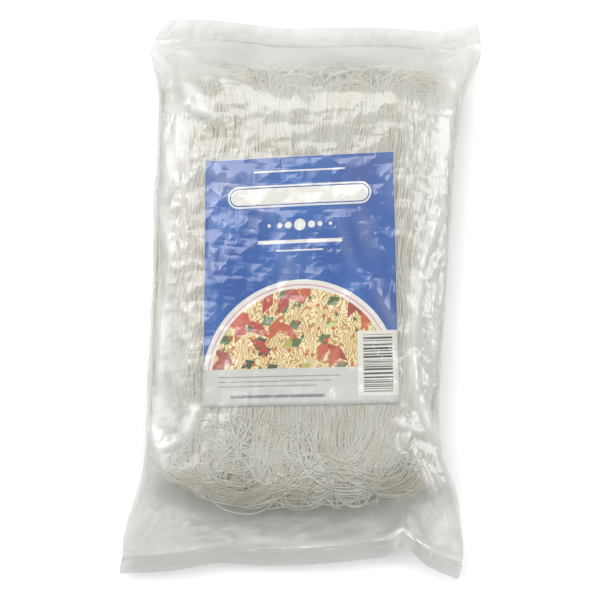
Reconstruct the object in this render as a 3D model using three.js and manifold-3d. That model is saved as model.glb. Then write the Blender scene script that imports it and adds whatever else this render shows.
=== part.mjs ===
// A sealed bag of clear film packed with dried rice vermicelli, with a printed paper label
// under the film. It lies on its back: +X is the pack's right, +Y its top seal, +Z its front.
// Units are millimetres. The origin is under the middle of the pack, on the table.

import * as THREE from "three";
import { mergeVertices } from "three/addons/utils/BufferGeometryUtils.js";
import Module from "manifold-3d";

const { clamp, lerp, smoothstep } = THREE.MathUtils;

// Driving sizes of the pack
const LAY_FLAT_WIDTH = 190;
const PACK_LENGTH = 293;
const BUNDLE_THICKNESS = 41;
const FILM_FIN = 1.2; // thickness of the film where front and back meet
const TABLE_SETTLE = 1.5; // how far the round back is pressed flat by its own weight

// Plan outline of the bag as it lies. Each edge is a curve through [along, across] points.
// The fractions are of half the lay-flat width and half the length.
const HALF_WIDTH = LAY_FLAT_WIDTH / 2;
const HALF_LENGTH = PACK_LENGTH / 2;
const LEFT_EDGE = [
  [-0.98, -1.0],
  [-0.8, -0.954],
  [-0.61, -0.868],
  [-0.41, -0.846],
  [0.02, -0.82],
  [0.42, -0.8],
  [0.7, -0.784],
  [0.9, -0.822],
  [1.0, -0.736],
];
const RIGHT_EDGE = [
  [-1.0, 0.872],
  [-0.92, 0.902],
  [-0.76, 0.882],
  [-0.67, 0.852],
  [-0.56, 0.774],
  [-0.45, 0.76],
  [0.0, 0.806],
  [0.45, 0.852],
  [0.73, 0.91],
  [0.9, 1.0],
  [0.98, 0.98],
];
const BOTTOM_EDGE = [
  [-1.0, -0.98],
  [-0.72, -0.968],
  [-0.46, -0.941],
  [-0.16, -0.952],
  [0.4, -0.924],
  [0.49, -0.908],
  [0.56, -0.874],
  [0.63, -0.908],
  [0.7, -0.952],
  [0.88, -1.0],
];
const TOP_EDGE = [
  [-0.74, 0.998],
  [-0.56, 1.0],
  [-0.3, 0.988],
  [-0.1, 0.972],
  [0.5, 0.972],
  [0.76, 0.96],
  [0.84, 0.964],
  [0.98, 0.985],
];

// Lengthwise stations, as shares of the length from the bottom edge to the top edge
const BOTTOM_SEAL = 0.035;
const BOTTOM_SHOULDER = 0.2;
const TOP_SHOULDER = 0.84;
const TOP_SEAL = 0.962;

// How the seals ride above the table, and how they wave
const BOTTOM_SEAL_HEIGHT = 13;
const TOP_SEAL_HEIGHT = 15;
const SEAL_WAVE = 2.2;
const SEAL_WAVES_ACROSS = 2.5;

// The bottom seal buckles upwards beside its right corner
const BUCKLE = { x: 53, halfWidth: 14, height: 9, reach: 0.13 };

// The cross-section is lens-shaped beside a seal and nearly a slab over the bundle
const LENS_POWER = 2;
const SLAB_POWER = 3.1;

// Furrows between the skeins of noodles, felt through the film
const FURROW_DEPTH = 0.9;
const FURROW_PITCH = 26;

// Stiff folds of the film: a ridge from one plan point to another
const FOLDS = [
  { from: [-79, 131], to: [-50, 113], height: 3.2, halfWidth: 9 },
  { from: [91, 129], to: [64, 112], height: 3, halfWidth: 9 },
  { from: [71, 48], to: [58, -18], height: 1.6, halfWidth: 8 },
  { from: [57, -18], to: [66, -72], height: 2, halfWidth: 8 },
  { from: [60, -80], to: [80, -128], height: 2.6, halfWidth: 9 },
  { from: [-62, -94], to: [-89, -126], height: 2.8, halfWidth: 9 },
  { from: [-70, 92], to: [-62, 34], height: 1.4, halfWidth: 8 },
];

// Paper label: plan corners and thickness, and the clearance of the pocket it lies in
const LABEL_CORNERS = {
  bottomLeft: [-49.8, -54.7],
  bottomRight: [51, -52.7],
  topLeft: [-48.7, 71.1],
  topRight: [48, 76.2],
};
const LABEL_THICKNESS = 0.6;
const LABEL_GAP = 0.3;
const POCKET_HEADROOM = 6;

// Facets across and along each grid
const BAG_COLUMNS = 32;
const BAG_ROWS = 50;
const LABEL_COLUMNS = 10;
const LABEL_ROWS = 12;
const OUTLINE_PASSES = 6;

// A smooth function through [at, value] points, held level past both ends
function curveThrough(points) {
  const last = points.length - 1;
  const slopes = points.map((point, i) => {
    const [fromAt, fromValue] = points[Math.max(i - 1, 0)];
    const [toAt, toValue] = points[Math.min(i + 1, last)];
    return (toValue - fromValue) / (toAt - fromAt);
  });
  return (at) => {
    const s = clamp(at, points[0][0], points[last][0]);
    const i = Math.max(0, points.findIndex(([end]) => end >= s) - 1);
    const [startAt, start] = points[i];
    const [endAt, end] = points[i + 1];
    const span = endAt - startAt;
    const t = (s - startAt) / span;
    const ease = t * t * (3 - 2 * t);
    const rise = t * (1 - t) * (1 - t) * slopes[i] - t * t * (1 - t) * slopes[i + 1];
    return lerp(start, end, ease) + rise * span;
  };
}

// The four edges in millimetres: side edges are x at a y, end edges are y at an x
const sideCurve = (points) => {
  const curve = curveThrough(points);
  return (y) => HALF_WIDTH * curve(y / HALF_LENGTH);
};
const endCurve = (points) => {
  const curve = curveThrough(points);
  return (x) => HALF_LENGTH * curve(x / HALF_WIDTH);
};
const leftAt = sideCurve(LEFT_EDGE);
const rightAt = sideCurve(RIGHT_EDGE);
const bottomAt = endCurve(BOTTOM_EDGE);
const topAt = endCurve(TOP_EDGE);

// The plan point at a share u across and v along. Both edges wave, so it is closed in on.
function planPoint(u, v) {
  let x = lerp(-HALF_WIDTH, HALF_WIDTH, u);
  let y = lerp(-HALF_LENGTH, HALF_LENGTH, v);
  for (let pass = 0; pass < OUTLINE_PASSES; pass += 1) {
    x = lerp(leftAt(y), rightAt(y), u);
    y = lerp(bottomAt(x), topAt(x), v);
  }
  return [x, y];
}

// The height of one ridge of film, like a tent over its line
function foldHeight({ from, to, height, halfWidth }, x, y) {
  const line = new THREE.Line3(new THREE.Vector3(...from, 0), new THREE.Vector3(...to, 0));
  const point = new THREE.Vector3(x, y, 0);
  const nearest = line.closestPointToPoint(point, true, new THREE.Vector3());
  return height * Math.max(0, 1 - nearest.distanceTo(point) / halfWidth);
}

// How full the bag is at a share v of its length: 0 in the seals, 1 over the bundle
function fullnessAt(v) {
  const fromBottom = clamp((v - BOTTOM_SEAL) / (BOTTOM_SHOULDER - BOTTOM_SEAL), 0, 1);
  const fromTop = clamp((TOP_SEAL - v) / (TOP_SEAL - TOP_SHOULDER), 0, 1);
  return Math.sin((Math.PI / 2) * fromBottom) * Math.sin((Math.PI / 2) * fromTop);
}

// The height of the film where front and back are sealed together
function sealHeight(x, v) {
  const across = x / HALF_WIDTH;
  const wave = SEAL_WAVE * Math.sin(Math.PI * SEAL_WAVES_ACROSS * across);
  const buckled = BUCKLE.height
    * Math.max(0, Math.cos(clamp((x - BUCKLE.x) / BUCKLE.halfWidth, -1, 1) * Math.PI / 2))
    * (1 - smoothstep(v, 0, BUCKLE.reach));
  return lerp(BOTTOM_SEAL_HEIGHT, TOP_SEAL_HEIGHT, v) + wave + buckled;
}

// The heights of the front and the back of the bag over a plan point
function filmHeights(x, y) {
  const u = clamp((x - leftAt(y)) / (rightAt(y) - leftAt(y)), 0, 1);
  const v = clamp((y - bottomAt(x)) / (topAt(x) - bottomAt(x)), 0, 1);
  const fullness = fullnessAt(v);
  const power = lerp(LENS_POWER, SLAB_POWER, fullness);
  const section = (1 - Math.abs(2 * u - 1) ** power) ** (1 / power);
  const middle = lerp(sealHeight(x, v), BUNDLE_THICKNESS / 2, fullness);
  const swell = (BUNDLE_THICKNESS / 2 + TABLE_SETTLE) * fullness * section;
  const furrow = FURROW_DEPTH * Math.sin((2 * Math.PI * x) / FURROW_PITCH) * fullness * section;
  const folds = FOLDS.reduce((sum, fold) => sum + foldHeight(fold, x, y), 0) * section;
  const front = middle + swell - TABLE_SETTLE + furrow + folds;
  const back = Math.max(0, middle - swell);
  return { front: Math.max(front, back + FILM_FIN), back };
}

// A closed solid between two skins over one grid. Both skins are functions of (u, v) that
// give a point, and its faces point outwards when the first skin is the upper one.
function solidBetween(columns, rows, upper, lower) {
  const positions = [];
  const index = [];
  const perSkin = (columns + 1) * (rows + 1);
  for (const skin of [upper, lower]) {
    for (let row = 0; row <= rows; row += 1) {
      for (let column = 0; column <= columns; column += 1) {
        positions.push(...skin(column / columns, row / rows));
      }
    }
  }
  const at = (column, row) => row * (columns + 1) + column;
  for (let row = 0; row < rows; row += 1) {
    for (let column = 0; column < columns; column += 1) {
      const a = at(column, row);
      const b = at(column + 1, row);
      const c = at(column + 1, row + 1);
      const d = at(column, row + 1);
      index.push(a, b, c, a, c, d);
      index.push(perSkin + a, perSkin + c, perSkin + b, perSkin + a, perSkin + d, perSkin + c);
    }
  }
  const wall = (from, to) => {
    index.push(perSkin + from, perSkin + to, to, perSkin + from, to, from);
  };
  for (let column = 0; column < columns; column += 1) {
    wall(at(column, 0), at(column + 1, 0));
    wall(at(column + 1, rows), at(column, rows));
  }
  for (let row = 0; row < rows; row += 1) {
    wall(at(columns, row), at(columns, row + 1));
    wall(at(0, row + 1), at(0, row));
  }
  const geometry = new THREE.BufferGeometry();
  geometry.setAttribute("position", new THREE.Float32BufferAttribute(positions, 3));
  geometry.setIndex(index);
  return geometry;
}

// Columns crowd towards the sides, where the film turns from front to back
const crowdedSides = (u) => (1 - Math.cos(Math.PI * u)) / 2;

function bagGeometry() {
  const skin = (side) => (u, v) => {
    const [x, y] = planPoint(crowdedSides(u), v);
    return [x, y, filmHeights(x, y)[side]];
  };
  return solidBetween(BAG_COLUMNS, BAG_ROWS, skin("front"), skin("back"));
}

// A sheet that follows the front of the bag under the label, grown by a margin all round
function labelSheet(margin, rise, depth) {
  const { bottomLeft, bottomRight, topLeft, topRight } = LABEL_CORNERS;
  const width = bottomRight[0] - bottomLeft[0];
  const height = topLeft[1] - bottomLeft[1];
  const skin = (offset) => (s, t) => {
    const across = lerp(-margin / width, 1 + margin / width, s);
    const along = lerp(-margin / height, 1 + margin / height, t);
    const x = lerp(
      lerp(bottomLeft[0], bottomRight[0], across),
      lerp(topLeft[0], topRight[0], across),
      along,
    );
    const y = lerp(
      lerp(bottomLeft[1], bottomRight[1], across),
      lerp(topLeft[1], topRight[1], across),
      along,
    );
    return [x, y, filmHeights(x, y).front + offset];
  };
  return solidBetween(LABEL_COLUMNS, LABEL_ROWS, skin(rise), skin(-depth));
}

// Conversions between three.js geometry and manifold-3d solids
const wasm = await Module();
wasm.setup();

function toSolid(geometry) {
  const merged = mergeVertices(geometry);
  return new wasm.Manifold(new wasm.Mesh({
    numProp: 3,
    vertProperties: merged.attributes.position.array,
    triVerts: new Uint32Array(merged.index.array),
  }));
}

function toGeometry(solid) {
  const mesh = solid.getMesh();
  const geometry = new THREE.BufferGeometry();
  geometry.setAttribute("position", new THREE.BufferAttribute(mesh.vertProperties, 3));
  geometry.setIndex(new THREE.BufferAttribute(mesh.triVerts, 1));
  return geometry;
}

// The bag: one solid of the film's outer form, with a shallow pocket for the label
function makeBag() {
  const pocket = labelSheet(LABEL_GAP, POCKET_HEADROOM, LABEL_THICKNESS + LABEL_GAP);
  const geometry = toGeometry(toSolid(bagGeometry()).subtract(toSolid(pocket)));
  const film = new THREE.MeshStandardMaterial({
    color: 0xdedcd2,
    roughness: 0.25,
    metalness: 0,
  });
  const bag = new THREE.Mesh(geometry, film);
  bag.name = "bag";
  return bag;
}

// The label: a paper sheet, flush with the front of the bag
function makeLabel() {
  const paper = new THREE.MeshStandardMaterial({
    color: 0x4a73b8,
    roughness: 0.45,
    metalness: 0,
  });
  const label = new THREE.Mesh(labelSheet(0, 0, LABEL_THICKNESS), paper);
  label.name = "label";
  return label;
}

const pack = new THREE.Group();
pack.add(makeBag(), makeLabel());

export default pack;
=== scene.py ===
"""Looks of a sealed bag of clear film, packed with dried rice vermicelli and a printed label.

Sizes are metres in the frame of the solid model: +X is the pack's right, +Y its top seal and
+Z its front. The pack lies on its back, on a floor at z = 0.
"""

import math

import bpy
import numpy as np
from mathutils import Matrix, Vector


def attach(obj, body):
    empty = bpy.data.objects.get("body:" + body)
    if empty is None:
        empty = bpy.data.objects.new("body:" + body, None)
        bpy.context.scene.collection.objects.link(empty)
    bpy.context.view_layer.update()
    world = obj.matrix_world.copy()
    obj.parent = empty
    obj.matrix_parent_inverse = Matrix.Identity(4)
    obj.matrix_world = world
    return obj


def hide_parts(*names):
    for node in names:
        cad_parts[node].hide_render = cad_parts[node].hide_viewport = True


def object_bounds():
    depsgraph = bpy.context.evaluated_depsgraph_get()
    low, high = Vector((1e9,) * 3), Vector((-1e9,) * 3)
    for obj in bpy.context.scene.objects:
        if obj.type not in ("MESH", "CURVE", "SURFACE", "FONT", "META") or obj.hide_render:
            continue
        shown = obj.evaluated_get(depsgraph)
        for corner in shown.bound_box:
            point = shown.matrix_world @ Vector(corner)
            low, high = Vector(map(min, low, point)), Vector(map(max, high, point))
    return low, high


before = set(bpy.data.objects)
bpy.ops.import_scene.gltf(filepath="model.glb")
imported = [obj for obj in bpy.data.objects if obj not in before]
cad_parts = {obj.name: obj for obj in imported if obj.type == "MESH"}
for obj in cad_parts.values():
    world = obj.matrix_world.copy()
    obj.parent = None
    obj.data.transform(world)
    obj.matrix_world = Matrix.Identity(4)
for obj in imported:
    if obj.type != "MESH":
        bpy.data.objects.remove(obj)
cad_low, cad_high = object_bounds()

MM = 0.001

# Driving sizes of the pack
LAY_FLAT_WIDTH = 190 * MM
PACK_LENGTH = 293 * MM
PACK_THICKNESS = 41 * MM
TABLE_SETTLE = 1.5 * MM  # how far the round back is pressed flat by its own weight
BUNDLE_GAP = 1.5 * MM  # from the pack's nominal skin in to the bundle of noodles
STRAND_RADIUS = 0.34 * MM

# Plan outline of the bag as it lies, as curves through [along, across] points.
# The fractions are of half the lay-flat width and half the length.
HALF_WIDTH = LAY_FLAT_WIDTH / 2
HALF_LENGTH = PACK_LENGTH / 2
LEFT_EDGE = [
    (-0.98, -1.0), (-0.8, -0.954), (-0.61, -0.868), (-0.41, -0.846), (0.02, -0.82),
    (0.42, -0.8), (0.7, -0.784), (0.9, -0.822), (1.0, -0.736),
]
RIGHT_EDGE = [
    (-1.0, 0.872), (-0.92, 0.902), (-0.76, 0.882), (-0.67, 0.852), (-0.56, 0.774),
    (-0.45, 0.76), (0.0, 0.806), (0.45, 0.852), (0.73, 0.91), (0.9, 1.0), (0.98, 0.98),
]
BOTTOM_EDGE = [
    (-1.0, -0.98), (-0.72, -0.968), (-0.46, -0.941), (-0.16, -0.952), (0.4, -0.924),
    (0.49, -0.908), (0.56, -0.874), (0.63, -0.908), (0.7, -0.952), (0.88, -1.0),
]
TOP_EDGE = [
    (-0.74, 0.998), (-0.56, 1.0), (-0.3, 0.988), (-0.1, 0.972), (0.5, 0.972),
    (0.76, 0.96), (0.84, 0.964), (0.98, 0.985),
]
OUTLINE_PASSES = 6

# Lengthwise stations, as shares of the length from the bottom edge to the top edge
BOTTOM_SEAL = 0.035
BOTTOM_SHOULDER = 0.2
TOP_SHOULDER = 0.84
TOP_SEAL = 0.962

# How the seals ride above the floor, how they wave, and the buckle in the bottom one
BOTTOM_SEAL_HEIGHT = 13 * MM
TOP_SEAL_HEIGHT = 15 * MM
SEAL_WAVE = 2.2 * MM
SEAL_WAVES_ACROSS = 2.5
BUCKLE_X = 53 * MM
BUCKLE_HALF_WIDTH = 14 * MM
BUCKLE_HEIGHT = 9 * MM
BUCKLE_REACH = 0.13

# The cross-section is lens-shaped beside a seal and nearly a slab over the bundle
LENS_POWER = 2.0
SLAB_POWER = 3.1


# Shape of the pack

def curve_through(points):
    """A smooth function through (at, value) points, held level past both ends."""
    at = np.array([point[0] for point in points])
    value = np.array([point[1] for point in points])
    last = len(points) - 1
    before = np.maximum(np.arange(last + 1) - 1, 0)
    after = np.minimum(np.arange(last + 1) + 1, last)
    slope = (value[after] - value[before]) / (at[after] - at[before])

    def curve(where):
        where = np.clip(where, at[0], at[-1])
        i = np.clip(np.searchsorted(at, where) - 1, 0, last - 1)
        span = at[i + 1] - at[i]
        t = (where - at[i]) / span
        ease = t * t * (3 - 2 * t)
        rise = t * (1 - t) ** 2 * slope[i] - t * t * (1 - t) * slope[i + 1]
        return value[i] * (1 - ease) + value[i + 1] * ease + rise * span

    return curve


left_curve = curve_through(LEFT_EDGE)
right_curve = curve_through(RIGHT_EDGE)
bottom_curve = curve_through(BOTTOM_EDGE)
top_curve = curve_through(TOP_EDGE)


def side_edges(y):
    """The bag's left and right edge at y."""
    return HALF_WIDTH * left_curve(y / HALF_LENGTH), HALF_WIDTH * right_curve(y / HALF_LENGTH)


def end_edges(x):
    """The bag's bottom and top edge at x."""
    return HALF_LENGTH * bottom_curve(x / HALF_WIDTH), HALF_LENGTH * top_curve(x / HALF_WIDTH)


def lerp(start, end, share):
    return start + (end - start) * share


def smoothstep(low, high, value):
    t = np.clip((value - low) / (high - low), 0, 1)
    return t * t * (3 - 2 * t)


def wave(along, length, phase=0):
    """A sine wave of a given length, shifted by a share of that length."""
    return np.sin(2 * math.pi * (along / length + phase))


def plan_point(u, v):
    """The plan point at shares u across and v along. Both edges wave, so it is closed in on."""
    x = lerp(-HALF_WIDTH, HALF_WIDTH, u)
    y = lerp(-HALF_LENGTH, HALF_LENGTH, v)
    for _ in range(OUTLINE_PASSES):
        left, right = side_edges(y)
        x = lerp(left, right, u)
        bottom, top = end_edges(x)
        y = lerp(bottom, top, v)
    return x, y


def fullness_at(v):
    """How full the bag is along its length: 0 in the seals, 1 over the bundle."""
    from_bottom = np.clip((v - BOTTOM_SEAL) / (BOTTOM_SHOULDER - BOTTOM_SEAL), 0, 1)
    from_top = np.clip((TOP_SEAL - v) / (TOP_SEAL - TOP_SHOULDER), 0, 1)
    return np.sin(math.pi / 2 * from_bottom) * np.sin(math.pi / 2 * from_top)


def seal_height(x, v):
    """The height of the film where front and back are sealed together."""
    wave = SEAL_WAVE * np.sin(math.pi * SEAL_WAVES_ACROSS * x / HALF_WIDTH)
    beside = np.clip((x - BUCKLE_X) / BUCKLE_HALF_WIDTH, -1, 1)
    buckle = BUCKLE_HEIGHT * np.cos(beside * math.pi / 2) * (1 - smoothstep(0, BUCKLE_REACH, v))
    return lerp(BOTTOM_SEAL_HEIGHT, TOP_SEAL_HEIGHT, v) + wave + buckle


def pack_heights(x, y):
    """Heights of the pack's nominal front and back over plan points."""
    left, right = side_edges(y)
    bottom, top = end_edges(x)
    u = np.clip((x - left) / (right - left), 0, 1)
    v = np.clip((y - bottom) / (top - bottom), 0, 1)
    fullness = fullness_at(v)
    power = lerp(LENS_POWER, SLAB_POWER, fullness)
    section = (1 - np.abs(2 * u - 1) ** power) ** (1 / power)
    middle = lerp(seal_height(x, v), PACK_THICKNESS / 2, fullness)
    swell = (PACK_THICKNESS / 2 + TABLE_SETTLE) * fullness * section
    return middle + swell - TABLE_SETTLE, np.maximum(0, middle - swell)


# Gentle lumps of the bundle, as (height, wavelength, heading in degrees, phase)
LUMPS = [
    (0.7 * MM, 62 * MM, 12, 0.4),
    (0.5 * MM, 37 * MM, -24, 2.1),
    (0.4 * MM, 24 * MM, 8, 4.4),
    (0.25 * MM, 48 * MM, 71, 1.3),
]
BACK_MIN_HEIGHT = 1.2 * MM


def bundle_heights(x, y):
    """Heights of the bundle's front and back skins, under the film."""
    front, back = pack_heights(x, y)
    lump = 0
    for height, wavelength, heading, phase in LUMPS:
        along = x * math.cos(math.radians(heading)) + y * math.sin(math.radians(heading))
        lump = lump + height * np.sin(2 * math.pi * along / wavelength + phase)
    thin = smoothstep(0, PACK_THICKNESS / 2, front - back)
    return front - BUNDLE_GAP + lump * thin, np.maximum(back + BUNDLE_GAP, BACK_MIN_HEIGHT)


# Small tools for meshes and nodes

def new_piece(name, points, faces, material=None):
    """A mesh object at the origin with its place in its mesh."""
    mesh = bpy.data.meshes.new(name)
    mesh.from_pydata([tuple(point) for point in points], [], faces)
    mesh.validate()
    mesh.update()
    piece = bpy.data.objects.new(name, mesh)
    bpy.context.scene.collection.objects.link(piece)
    if material is not None:
        mesh.materials.append(material)
    return piece


def shade_smooth(mesh):
    mesh.polygons.foreach_set("use_smooth", [True] * len(mesh.polygons))


def freeze(piece):
    """Turns a piece and its live modifiers into one plain mesh."""
    depsgraph = bpy.context.evaluated_depsgraph_get()
    mesh = bpy.data.meshes.new_from_object(piece.evaluated_get(depsgraph))
    mesh.name = piece.name
    piece.modifiers.clear()
    piece.data = mesh
    return piece


def vertex_triples(mesh, what):
    """The mesh's vertex places, "co", or vertex normals, "normal", as rows of three."""
    values = np.empty(len(mesh.vertices) * 3)
    mesh.vertices.foreach_get(what, values)
    return values.reshape(-1, 3)


def set_points(mesh, points):
    mesh.vertices.foreach_set("co", np.ascontiguousarray(points).ravel())
    mesh.update()


def store(mesh, name, values):
    """Keeps one number for each vertex under a name."""
    mesh.attributes.new(name, "FLOAT", "POINT").data.foreach_set("value", values)


def stored(mesh, name):
    values = np.empty(len(mesh.vertices))
    mesh.attributes[name].data.foreach_get("value", values)
    return values


def corner_vertices(mesh):
    """The vertex of each face corner."""
    vertices = np.empty(len(mesh.loops), dtype=np.int64)
    mesh.loops.foreach_get("vertex_index", vertices)
    return vertices


def flat_square(name, reach, material=None):
    """A level square at z = 0 that reaches equally far each way."""
    corners = [(-reach, -reach, 0), (reach, -reach, 0), (reach, reach, 0), (-reach, reach, 0)]
    return new_piece(name, corners, [(0, 1, 2, 3)], material)


def grid_faces(columns, rows, start=0, flip=False):
    """Quads over a grid of (columns + 1) by (rows + 1) points, row by row."""
    faces = []
    for row in range(rows):
        for column in range(columns):
            a = start + row * (columns + 1) + column
            b = a + columns + 1
            quad = (a, a + 1, b + 1, b)
            faces.append(quad[::-1] if flip else quad)
    return faces


def closed_block(name, x, y, front, back, material=None):
    """A closed solid between a front and a back grid of heights over the same plan grid."""
    rows, columns = x.shape[0] - 1, x.shape[1] - 1
    points = np.concatenate([
        np.stack([x, y, front], axis=-1).reshape(-1, 3),
        np.stack([x, y, back], axis=-1).reshape(-1, 3),
    ])
    half = (rows + 1) * (columns + 1)
    faces = grid_faces(columns, rows) + grid_faces(columns, rows, half, flip=True)
    rim = list(range(columns + 1))
    rim += [(row + 1) * (columns + 1) + columns for row in range(rows)]
    rim += [rows * (columns + 1) + column for column in range(columns - 1, -1, -1)]
    rim += [row * (columns + 1) for row in range(rows - 1, 0, -1)]
    for a, b in zip(rim, rim[1:] + rim[:1]):
        faces.append((half + a, half + b, b, a))
    return new_piece(name, points, faces, material)


def linear(hex_colour):
    """An sRGB hex colour as linear red, green, blue and a full alpha."""
    channels = [int(hex_colour[i:i + 2], 16) / 255 for i in (1, 3, 5)]
    return tuple(
        c / 12.92 if c <= 0.04045 else ((c + 0.055) / 1.055) ** 2.4 for c in channels
    ) + (1.0,)


def add_node(tree, kind, settings=None, inputs=None):
    """Adds a node. settings are its attributes, and inputs are plain values or sockets."""
    node = tree.nodes.new(kind)
    for name, value in (settings or {}).items():
        setattr(node, name, value)
    for key, value in (inputs or {}).items():
        if isinstance(value, bpy.types.NodeSocket):
            tree.links.new(value, node.inputs[key])
        else:
            node.inputs[key].default_value = value
    return node


def new_material(name):
    """An empty node material and its tree."""
    material = bpy.data.materials.new(name)
    material.use_nodes = True
    material.node_tree.nodes.clear()
    return material, material.node_tree


def set_ramp(node, stops, interpolation="LINEAR"):
    """Gives a colour ramp its (position, hex colour) stops."""
    ramp = node.color_ramp
    ramp.interpolation = interpolation
    while len(ramp.elements) < len(stops):
        ramp.elements.new(1.0)
    for element, (position, colour) in zip(ramp.elements, stops):
        element.position = position
        element.color = linear(colour)


# Materials

# Flat facets of the film get uneven milkiness: painted glare, standing in for the patches of
# softbox light that flat facets catch.
PAINTED_GLARE_FACET_MM = (18, 55)  # across and along the bag, of facets whose uneven milkiness is painted glare
PAINTED_GLARE_UNEVENNESS = 0.25  # how far a facet's painted glare takes its milkiness off the mean, as a share of it
PAINTED_GLARE_BLEND = 0.3
FILM_IOR = 1.55
GLINT_ROUGHNESS = 0.14
GLINT_LIMIT = 0.22  # the film's steep crinkles would turn into mirrors without it
SEAL_GLINT_LOST = 0.65  # share of the shine that the pressed seals lose
CRINKLE_WIDTH_MM = 15
CRINKLE_HEIGHT = 0.9 * MM


def film_material():
    """Clear polypropylene film, blown and heat-sealed.

    It shows what is behind it, a little greyed and milky, under crisp window-like glints.
    Fine crinkles too small to model break the glints up. It is milkier where it is sealed or
    pleated. Much of its milkiness is painted light: raised over the lower noodles and the bottom
    seal and cut in the shadowed gap under the bundle, a painted sheen along its sloping
    shoulders, a painted highlight along its folds, and painted glare in flat facets of uneven
    milkiness.
    """
    material, tree = new_material("clear_polypropylene_film")
    flat = add_node(tree, "ShaderNodeUVMap", {"uv_map": "lay_flat_mm"})
    crinkle = add_node(tree, "ShaderNodeTexVoronoi", {"distance": "MANHATTAN"},
                       {"Vector": flat.outputs[0], "Scale": 1 / CRINKLE_WIDTH_MM, "Detail": 1.0,
                        "Roughness": 0.6, "Randomness": 1.0})
    bump = add_node(tree, "ShaderNodeBump", None,
                    {"Strength": 0.6, "Distance": CRINKLE_HEIGHT,
                     "Height": crinkle.outputs["Distance"]})
    sealed = add_node(tree, "ShaderNodeAttribute", {"attribute_name": "sealed"})
    tint = add_node(tree, "ShaderNodeMix", {"data_type": "RGBA"},
                    {"Factor": sealed.outputs["Fac"], 6: linear("#f0f0ee"), 7: linear("#c8c8c6")})
    clear = add_node(tree, "ShaderNodeBsdfTransparent", None, {"Color": tint.outputs[2]})
    haze = add_node(tree, "ShaderNodeBsdfPrincipled", None,
                    {"Base Color": linear("#e9e9e7"), "Roughness": 0.6})
    # The milk attribute is partly the film's own haze and partly painted light, sheen and
    # highlight.
    milk_and_painted_light = add_node(tree, "ShaderNodeAttribute", {"attribute_name": "milk_and_painted_light"})
    # Uneven milkiness from facet to facet is painted glare, kept even in the seals.
    stretched = add_node(tree, "ShaderNodeMapping", {"vector_type": "TEXTURE"},
                         {"Vector": flat.outputs[0], "Scale": (*PAINTED_GLARE_FACET_MM, 1)})
    facets = add_node(tree, "ShaderNodeTexVoronoi", {"feature": "SMOOTH_F1"},
                      {"Vector": stretched.outputs[0], "Scale": 1.0,
                       "Smoothness": PAINTED_GLARE_BLEND})
    facet = add_node(tree, "ShaderNodeSeparateColor", None, {0: facets.outputs["Color"]})
    uneven = add_node(tree, "ShaderNodeMath", {"operation": "MULTIPLY_ADD"},
                      {0: facet.outputs[0], 1: 2 * PAINTED_GLARE_UNEVENNESS, 2: 1 - PAINTED_GLARE_UNEVENNESS})
    even_in_seals = add_node(tree, "ShaderNodeMix", None,
                             {"Factor": sealed.outputs["Fac"], 2: uneven.outputs[0], 3: 1.0})
    milkiness = add_node(tree, "ShaderNodeMath", {"operation": "MULTIPLY"},
                         {0: milk_and_painted_light.outputs["Fac"], 1: even_in_seals.outputs[0]})
    milky = add_node(tree, "ShaderNodeMixShader", None,
                     {0: milkiness.outputs[0], 1: clear.outputs[0], 2: haze.outputs[0]})
    gloss = add_node(tree, "ShaderNodeBsdfGlossy", None,
                     {"Color": linear("#ffffff"), "Roughness": GLINT_ROUGHNESS,
                      "Normal": bump.outputs[0]})
    facing = add_node(tree, "ShaderNodeFresnel", None,
                      {"IOR": FILM_IOR, "Normal": bump.outputs[0]})
    capped = add_node(tree, "ShaderNodeMath", {"operation": "MINIMUM"},
                      {0: facing.outputs[0], 1: GLINT_LIMIT})
    kept = add_node(tree, "ShaderNodeMath", {"operation": "MULTIPLY_ADD"},
                    {0: sealed.outputs["Fac"], 1: -SEAL_GLINT_LOST, 2: 1.0})
    shine = add_node(tree, "ShaderNodeMath", {"operation": "MULTIPLY"},
                     {0: capped.outputs[0], 1: kept.outputs[0]})
    surface = add_node(tree, "ShaderNodeMixShader", None,
                       {0: shine.outputs[0], 1: milky.outputs[0], 2: gloss.outputs[0]})
    add_node(tree, "ShaderNodeOutputMaterial", None, {"Surface": surface.outputs[0]})
    return material


TONE_PATCH = 18 * MM
TONE_SHARES = (0.2, 0.8)  # places on the colour ramp of the yellowest and the whitest strand
LIGHT_THROUGH = 0.62  # share of the light that passes through a strand
STREAK_WIDTH = 1.1 * MM
STREAK_LENGTH = 30 * MM


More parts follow.
